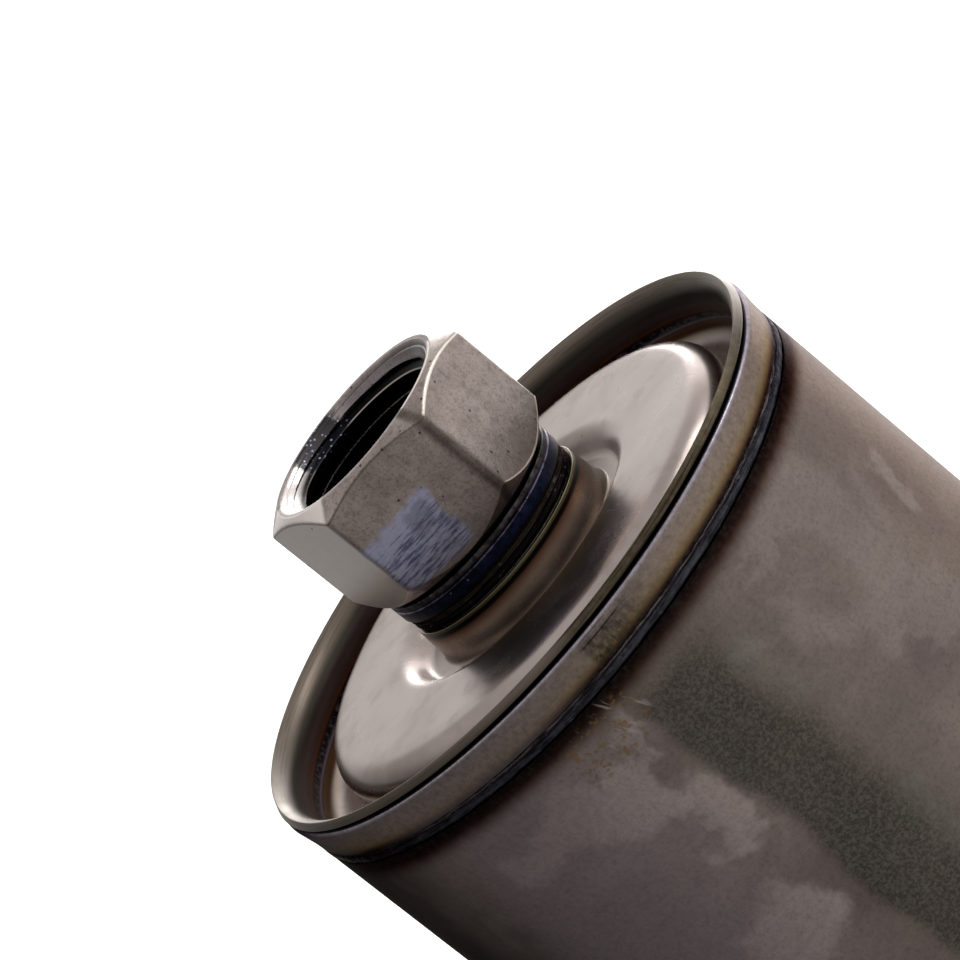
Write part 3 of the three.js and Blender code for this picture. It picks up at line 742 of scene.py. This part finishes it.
CREASE_RADIUS = 20.6
CREASE_DEPTH = 0.035
LIP_RISE = 0.19
LIP_HIGH_BEARING = 50  # degrees


def cap_outline():
    centreline = rounded([
        (RIM_RADIUS - 0.28, -0.42),
        (26.83, -1.04, 2),
        (26.83, -6.67, 2.1),
        (22.525, -6.67, 2.1),
        (22.525, -1.875, 2),
        (12.9, -1.875, 1.6),
        (11.7, -3.675, 1.4),
        (9.4, -3.675, 0.7),
        (9.125, 0.3),
    ], 10)
    return sheet(raised(finer(centreline, 0.45), INLET_PLANE), CAP_WALL, 0.07)


def cap_shape(angle, r, z):
    """The free lip stands a little higher on one side and wavers, and a faint crease rings the dome."""
    if r < 22 and z > INLET_PLANE - 3:
        return r, z - CREASE_DEPTH * math.exp(-((r - CREASE_RADIUS) / 0.5) ** 2)
    if r < 25 or z < INLET_PLANE - 2.5:
        return r, z
    share = (z - INLET_PLANE + 2.5) / 2.5
    lean = (1 + math.cos(angle - math.radians(LIP_HIGH_BEARING))) / 2
    rise = LIP_RISE * lean - 0.03 * (1 + waver(angle, 0, 2.2, 1, 8))
    return r, z + rise * share


make_piece("end_cap", *turned(cap_outline(), cap_shape), "housing", ["inlet_end_cap"], "cap_steel")


def seam_outline():
    floor = CAN_RADIUS - SEAM_DEPTH + 0.05
    line = [(floor, SEAM_TOP - 0.05), (floor, SEAM_BOTTOM + 0.05)]
    steps = 22
    for k in range(steps + 1):
        share = k / steps
        z = SEAM_BOTTOM + 0.05 + (SEAM_TOP - SEAM_BOTTOM - 0.1) * share
        crown = 0.2 * math.sin(math.pi * min(1, share * 1.2)) ** 0.5 if share < 0.83 else 0.02
        line.append((floor + 0.01 + crown - 0.02 * (1 + math.cos(TURN * 2.2 * share)) / 2, z))
    return line


def seam_shape(angle, r, z):
    if r < CAN_RADIUS - SEAM_DEPTH + 0.07:
        return r, z
    lump = waver(angle, z, 20, 0.6, 5) + 0.7 * waver(angle, z, 52, 1.2, 9)
    return r + 0.07 * lump, z + 0.05 * waver(angle, z, 18, 0.3, 12)


rim_bead = turned(seam_outline(), seam_shape, WELD_SIDES)
make_piece("rim_weld", *rim_bead, "housing", ["rim_seam_weld"], "weld_steel")


# ---------- ports ----------

FIRST_BEARING = math.radians(-30)


def hex_bearings():
    """Bearings round one port, closer together at the six edges."""
    result = []
    for flat in range(6):
        for k in range(-30, 30):
            share = k / 30
            result.append(math.radians(60 * flat + 30 * math.copysign(1 - (1 - abs(share)) ** 1.6, share)))
    return result


def hex_radius(angle):
    """Distance out to the hexagon at a bearing, with rounded edges; flats face 0, 60, ... degrees."""
    from_flat = abs((math.degrees(angle) + 30) % 60 - 30)
    toe = (HEX_APOTHEM - HEX_EDGE_FILLET) * math.tan(math.radians(30))
    if math.tan(math.radians(from_flat)) * HEX_APOTHEM < toe:
        return HEX_APOTHEM / math.cos(math.radians(from_flat))
    middle = (HEX_APOTHEM - HEX_EDGE_FILLET) / math.cos(math.radians(30))
    aside = math.radians(30 - from_flat)
    return middle * math.cos(aside) + math.sqrt(HEX_EDGE_FILLET ** 2 - (middle * math.sin(aside)) ** 2)


TURN_ROWS = 20  # rows of points in one pitch of the thread
BORE_TOP = PORT_HEIGHT - SEAT_DEPTH / 2  # above it the seat is wider than the thread's root
BORE_BOTTOM = 1.2
BORE_ROWS = math.ceil((BORE_TOP - BORE_BOTTOM) / THREAD_PITCH * TURN_ROWS) + TURN_ROWS


def bore_line(angle):
    """A right-hand inside thread under a conical seat, from the top down.

    Each row of points climbs one pitch in a turn.
    """
    line = []
    for row in range(BORE_ROWS + 1):
        crest_share = abs((row / TURN_ROWS) % 1 - 0.5) * 2
        share = max(0, min(1, (0.8 - crest_share) / 0.7))
        z = BORE_TOP + THREAD_PITCH * ((angle - FIRST_BEARING) / TURN - row / TURN_ROWS)
        z = max(BORE_BOTTOM, min(BORE_TOP, z))
        fade = max(0, min(1, (z - THREAD_END) / 1.2))
        thread = THREAD_CREST + (THREAD_ROOT - THREAD_CREST) * share * fade
        seat = SEAT_RADIUS - (PORT_HEIGHT - z) / SEAT_DEPTH * (SEAT_RADIUS - THREAD_CREST)
        line.append((max(thread, seat), z))
    return line


def port_column(angle):
    """The closed outline of a port at one bearing. Height 0 is the collar's mouth."""
    hexagon = hex_radius(angle)
    undercut = NECK_RADIUS - 0.55
    outside = rounded([
        (PASSAGE_RADIUS, -SPIGOT_DEPTH),
        (SPIGOT_RADIUS, -SPIGOT_DEPTH, 0.2),
        (SPIGOT_RADIUS, 1.65),
        (NECK_RADIUS, 1.75, 0.08),
        (NECK_RADIUS, 2.85, 0.05),
        (NECK_RADIUS - 0.15, 2.95),
        (NECK_RADIUS, 3.05, 0.05),
        (NECK_RADIUS, 3.52, 0.12),
        (undercut, 3.62, 0.1),
        (undercut, HEX_BASE, 0.1),
        (BASE_CHAMFER_RADIUS, HEX_BASE, 0.12),
        (hexagon, HEX_BASE + (hexagon - BASE_CHAMFER_RADIUS) * BASE_CHAMFER_SLOPE, 0.12),
        (hexagon, PORT_HEIGHT - (hexagon - TOP_CHAMFER_RADIUS) * TOP_CHAMFER_SLOPE, 0.45),
        (TOP_CHAMFER_RADIUS, PORT_HEIGHT, 0.15),
        (SEAT_RADIUS, PORT_HEIGHT, 0.06),
        (SEAT_RADIUS - 0.3, PORT_HEIGHT - 0.27),
        (SEAT_RADIUS - 0.34, PORT_HEIGHT - 0.36),
        (SEAT_RADIUS - 0.52, PORT_HEIGHT - 0.4),
    ], 4)
    return bore_line(angle) + [(THREAD_CREST, 0.9), (PASSAGE_RADIUS, 0.9)] + outside


def port_mesh(plane, up):
    columns = []
    for angle in hex_bearings():
        c, s = math.cos(angle), math.sin(angle)
        columns.append([(r * c, r * s * up, plane + z * up) for r, z in port_column(angle)])
    return closed_grid(columns, lambda row: max(row - TURN_ROWS, 0) if row <= BORE_ROWS else row)


RING_RADIUS = 9.2  # of the weld between a port and its collar


def ring_outline():
    floor = SPIGOT_RADIUS + 0.05
    steps = 20
    line = [(floor, 1.55), (floor, 0.4)]
    for k in range(steps + 1):
        share = k / steps
        bulge = 0.12 * math.sin(TURN * 2 * share - math.pi / 2) * math.sin(math.pi * share)
        line.append((RING_RADIUS + bulge, 0.4 + 1.15 * share))
    return line


def ring_shape(angle, r, z):
    if r < 9:
        return r, z
    return r + 0.03 * waver(angle, z, 16, 1.5, 2), z


for end, plane, up in (("inlet", INLET_PLANE, 1), ("outlet", OUTLET_PLANE, -1)):
    make_piece(f"{end}_port", *port_mesh(plane, up), "housing", [f"{end}_port_fitting"], "port_steel")
    ring_points, ring_faces = turned(ring_outline(), ring_shape)
    ring_points = [(x, y * up, plane + z * up) for x, y, z in ring_points]
    make_piece(f"{end}_weld", ring_points, ring_faces, "housing", [f"{end}_weld_ring"], "weld_steel")


# ---------- spring ----------

def spring_mesh():
    """A helix of round wire, with its end turns lying nearly flat."""
    low, high = (corner[2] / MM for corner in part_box("coil_spring"))
    wire = 1.3  # thickness of the wire
    coil = 9  # radius of the helix
    turns = 4
    steps = 320
    around = 14
    bottom, height = low + wire / 2, high - low - wire
    columns = []
    for k in range(steps + 1):
        t = k / steps
        ease = max(0, min(1, (t - 0.1) / 0.8))
        rise = 0.12 * t + 0.88 * ease * ease * (3 - 2 * ease)
        angle = TURN * turns * t
        centre = Vector((coil * math.cos(angle), coil * math.sin(angle), bottom + height * rise))
        out = Vector((math.cos(angle), math.sin(angle), 0))
        ring = []
        for i in range(around):
            swing = TURN * i / around
            spoke = out * math.cos(swing) + Vector((0, 0, math.sin(swing)))
            ring.append(tuple(centre + spoke * wire / 2))
        columns.append(ring)
    points = [p for column in columns for p in column]
    faces = []
    for k in range(steps):
        for i in range(around):
            j = (i + 1) % around
            faces.append((k * around + i, k * around + j, (k + 1) * around + j, (k + 1) * around + i))
    faces.append(tuple(range(around - 1, -1, -1)))
    faces.append(tuple(steps * around + i for i in range(around)))
    return points, faces


spring = make_piece("spring", *spring_mesh(), "housing", ["coil_spring"], "spring_steel")
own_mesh(spring)

# ---------- carried-over CAD nodes ----------

slots = {part["node"]: part["material_slot"] for part in frame["record"]["subparts"]}
for name, node in frame["nodes"].items():
    if node.hide_render:
        continue
    for slot in node.material_slots:
        slot.material = finishes[slots[name]]

# ---------- floor, light, camera ----------

def pale_floor():
    m = Recipe("pale_floor", 0.0)
    return m.finish(m.mix(m.noise(0.004, 3.0, 0.5), "f6f5f3", "faf9f8"), 0.9)


FLOOR_REACH = 6  # metres
corners = [(x * FLOOR_REACH, y * FLOOR_REACH, 0) for x, y in ((-1, -1), (1, -1), (1, 1), (-1, 1))]
floor_mesh = bpy.data.meshes.new("floor")
floor_mesh.from_pydata(corners, [], [(0, 1, 2, 3)])
floor_mesh.materials.append(pale_floor())
floor = bpy.data.objects.new("floor", floor_mesh)
floor.visible_glossy = False
bpy.context.scene.collection.objects.link(floor)

# The room's light, by direction. Bearings and elevations are in degrees.
BRIGHT_BEARING = 345
BACK_BEARING = 58
DIM_SIDE = 0.2
BRIGHT_SIDE = 1.05
BACK_GLOW = 0.4
OVERHEAD = 0.75
DARKEST = 0.02
WORLD_LOBES = (  # bearing, elevation, inner and outer half-angle, light added
    (45, 3, 13, 25, 1.3),
    (36, -18, 10, 20, 2.2),
    (112, -12, 8, 35, -0.1),
)


def studio_world():
    """A soft room: bright overhead, bright on one side near the horizon and dim on the other."""
    world = bpy.data.worlds.new("studio")
    world.use_nodes = True
    nodes, links = world.node_tree.nodes, world.node_tree.links
    bright_side = math.radians(BRIGHT_BEARING)

    def node(kind, values, **settings):
        made = nodes.new(kind)
        for key, value in settings.items():
            setattr(made, key, value)
        for key, value in values.items():
            if isinstance(value, bpy.types.NodeSocket):
                links.new(value, made.inputs[key])
            else:
                made.inputs[key].default_value = value
        return made

    direction = nodes.new("ShaderNodeTexCoord").outputs["Generated"]
    toward = (math.cos(bright_side), math.sin(bright_side), 0)
    side = node("ShaderNodeVectorMath", {0: direction, 1: toward}, operation="DOT_PRODUCT").outputs["Value"]
    behind = math.radians(BACK_BEARING)
    toward = (math.cos(behind), math.sin(behind), 0.09)
    rear = node("ShaderNodeVectorMath", {0: direction, 1: toward}, operation="DOT_PRODUCT").outputs["Value"]
    glow = node("ShaderNodeMapRange", {0: rear, 1: 0.75, 2: 1.0, 3: 0.0, 4: BACK_GLOW},
                interpolation_type="SMOOTHSTEP").outputs[0]
    upward = node("ShaderNodeSeparateXYZ", {0: direction}).outputs["Z"]
    level = node("ShaderNodeMapRange", {0: side, 1: -1.0, 2: 1.0, 3: DIM_SIDE, 4: BRIGHT_SIDE}).outputs[0]
    level = node("ShaderNodeMath", {0: level, 1: glow}, operation="ADD").outputs[0]
    for bearing, elevation, inner, outer, change in WORLD_LOBES:
        turn, rise = math.radians(bearing), math.radians(elevation)
        toward = (math.cos(turn) * math.cos(rise), math.sin(turn) * math.cos(rise), math.sin(rise))
        nearness = node("ShaderNodeVectorMath", {0: direction, 1: toward}, operation="DOT_PRODUCT")
        low, high = math.cos(math.radians(outer)), math.cos(math.radians(inner))
        inputs = {0: nearness.outputs["Value"], 1: low, 2: high, 3: 0.0, 4: change}
        lobe = node("ShaderNodeMapRange", inputs, interpolation_type="SMOOTHSTEP").outputs[0]
        level = node("ShaderNodeMath", {0: level, 1: lobe}, operation="ADD").outputs[0]
    level = node("ShaderNodeMath", {0: level, 1: DARKEST}, operation="MAXIMUM").outputs[0]
    overhead = node("ShaderNodeMapRange", {0: upward, 1: 0.4, 2: 0.85, 3: 0.0, 4: 1.0},
                    interpolation_type="SMOOTHSTEP").outputs[0]
    strength = node("ShaderNodeMix", {0: overhead, 2: level, 3: OVERHEAD}).outputs[0]
    background = nodes["Background"]
    background.inputs["Color"].default_value = (1.0, 0.985, 0.975, 1)
    links.new(strength, background.inputs["Strength"])
    return world


bpy.context.scene.world = studio_world()


def panel(name, bearing, elevation, distance, width, height, power):
    """A soft panel light aimed at the rim. Angles in degrees, sizes in metres."""
    b, e = math.radians(bearing), math.radians(elevation)
    away = Vector((math.cos(b) * math.cos(e), math.sin(b) * math.cos(e), math.sin(e)))
    lamp = bpy.data.lights.new(name, "AREA")
    lamp.shape = "RECTANGLE"
    lamp.size, lamp.size_y, lamp.energy = width, height, power
    holder = bpy.data.objects.new(name, lamp)
    holder.location = Vector((0, 0, 0.1)) + away * distance
    holder.rotation_mode = "QUATERNION"
    holder.rotation_quaternion = away.to_track_quat("Z", "Y")
    bpy.context.scene.collection.objects.link(holder)
    return holder


overhead_panel = panel("overhead", 60, 90, 3.5, 4, 4, 150)
overhead_panel.visible_glossy = False  # it lights the floor, and the steel doesn't mirror it
panel("right", 350, 35, 1.4, 0.4, 0.6, 3)
panel("window", 55, 5, 1.6, 0.35, 0.6, 2.4)

camera_data = bpy.data.cameras.new("camera")
camera_data.lens = VIEW_LENS
camera_data.sensor_width = 36
camera_data.clip_start, camera_data.clip_end = 0.01, 20
camera = bpy.data.objects.new("camera", camera_data)
bpy.context.scene.collection.objects.link(camera)
bpy.context.scene.camera = camera
back = Vector((
    math.cos(VIEW_ELEVATION) * math.cos(VIEW_BEARING),
    math.cos(VIEW_ELEVATION) * math.sin(VIEW_BEARING),
    math.sin(VIEW_ELEVATION),
))
level_right = (-back).cross(Vector((0, 0, 1))).normalized()
level_up = level_right.cross(-back)
right = level_right * math.cos(VIEW_ROLL) - level_up * math.sin(VIEW_ROLL)
up = level_right * math.sin(VIEW_ROLL) + level_up * math.cos(VIEW_ROLL)
place = Vector((0, 0, INLET_PLANE)) - right * VIEW_RIGHT + up * VIEW_BELOW + back * VIEW_DISTANCE
camera.matrix_world = Matrix.Translation(place * MM) @ Matrix((right, up, back)).transposed().to_4x4()

bpy.context.scene.view_settings.view_transform = "Standard"
